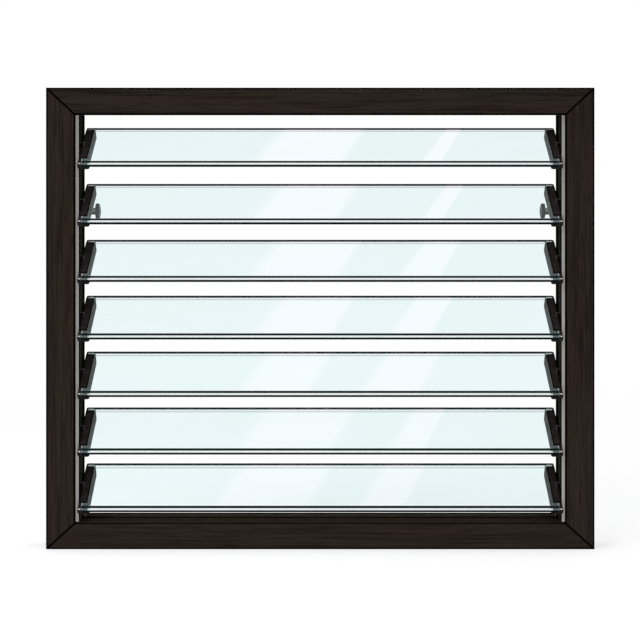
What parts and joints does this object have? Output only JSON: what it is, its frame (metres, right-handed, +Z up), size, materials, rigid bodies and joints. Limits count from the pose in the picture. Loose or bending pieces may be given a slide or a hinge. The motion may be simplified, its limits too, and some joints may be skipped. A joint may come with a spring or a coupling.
{
  "type": "adjustable glass louvre window",
  "caption": "Fixed-frame ventilator window: a mitred dark frame whose opening holds a stack of tilted clear glass louvre blades in black side clips.",
  "frame": {"origin": "middle of the sill's underside, half way through the depth of the frame", "axes": "+X along the window to the right as seen from outside, -Y to the outside, +Z up"},
  "size_m": [0.858, 0.0848, 0.722],
  "materials": {
    "frame_foil": "dark brown wood-grain foil on extruded aluminium, satin",
    "gallery_black": "black powder coat, satin",
    "link_steel": "plain steel flat bar",
    "strip_bright": "plain mill-finish aluminium",
    "knob_grey": "dark grey moulded plastic, slightly glossy",
    "clip_black": "black moulded plastic, satin",
    "blade_glass": "clear float glass with flat polished edges and a slight green tint"
  },
  "bodies": {
    "root": {"frame_head": "frame_foil", "frame_sill": "frame_foil", "jamb_left": "frame_foil", "jamb_right": "frame_foil", "gallery_left": "gallery_black", "link_bar_left": "link_steel", "weather_strip_left": "strip_bright", "knob_left": "knob_grey", "gallery_right": "gallery_black", "link_bar_right": "link_steel", "weather_strip_right": "strip_bright", "knob_right": "knob_grey", "glass_blade_1": "blade_glass", "clip_left_1": "clip_black", "clip_right_1": "clip_black", "glass_blade_2": "blade_glass", "clip_left_2": "clip_black", "clip_right_2": "clip_black", "glass_blade_3": "blade_glass", "clip_left_3": "clip_black", "clip_right_3": "clip_black", "glass_blade_4": "blade_glass", "clip_left_4": "clip_black", "clip_right_4": "clip_black", "glass_blade_5": "blade_glass", "clip_left_5": "clip_black", "clip_right_5": "clip_black", "glass_blade_6": "blade_glass", "clip_left_6": "clip_black", "clip_right_6": "clip_black", "glass_blade_7": "blade_glass", "clip_left_7": "clip_black", "clip_right_7": "clip_black"}
  },
  "joints": []
}
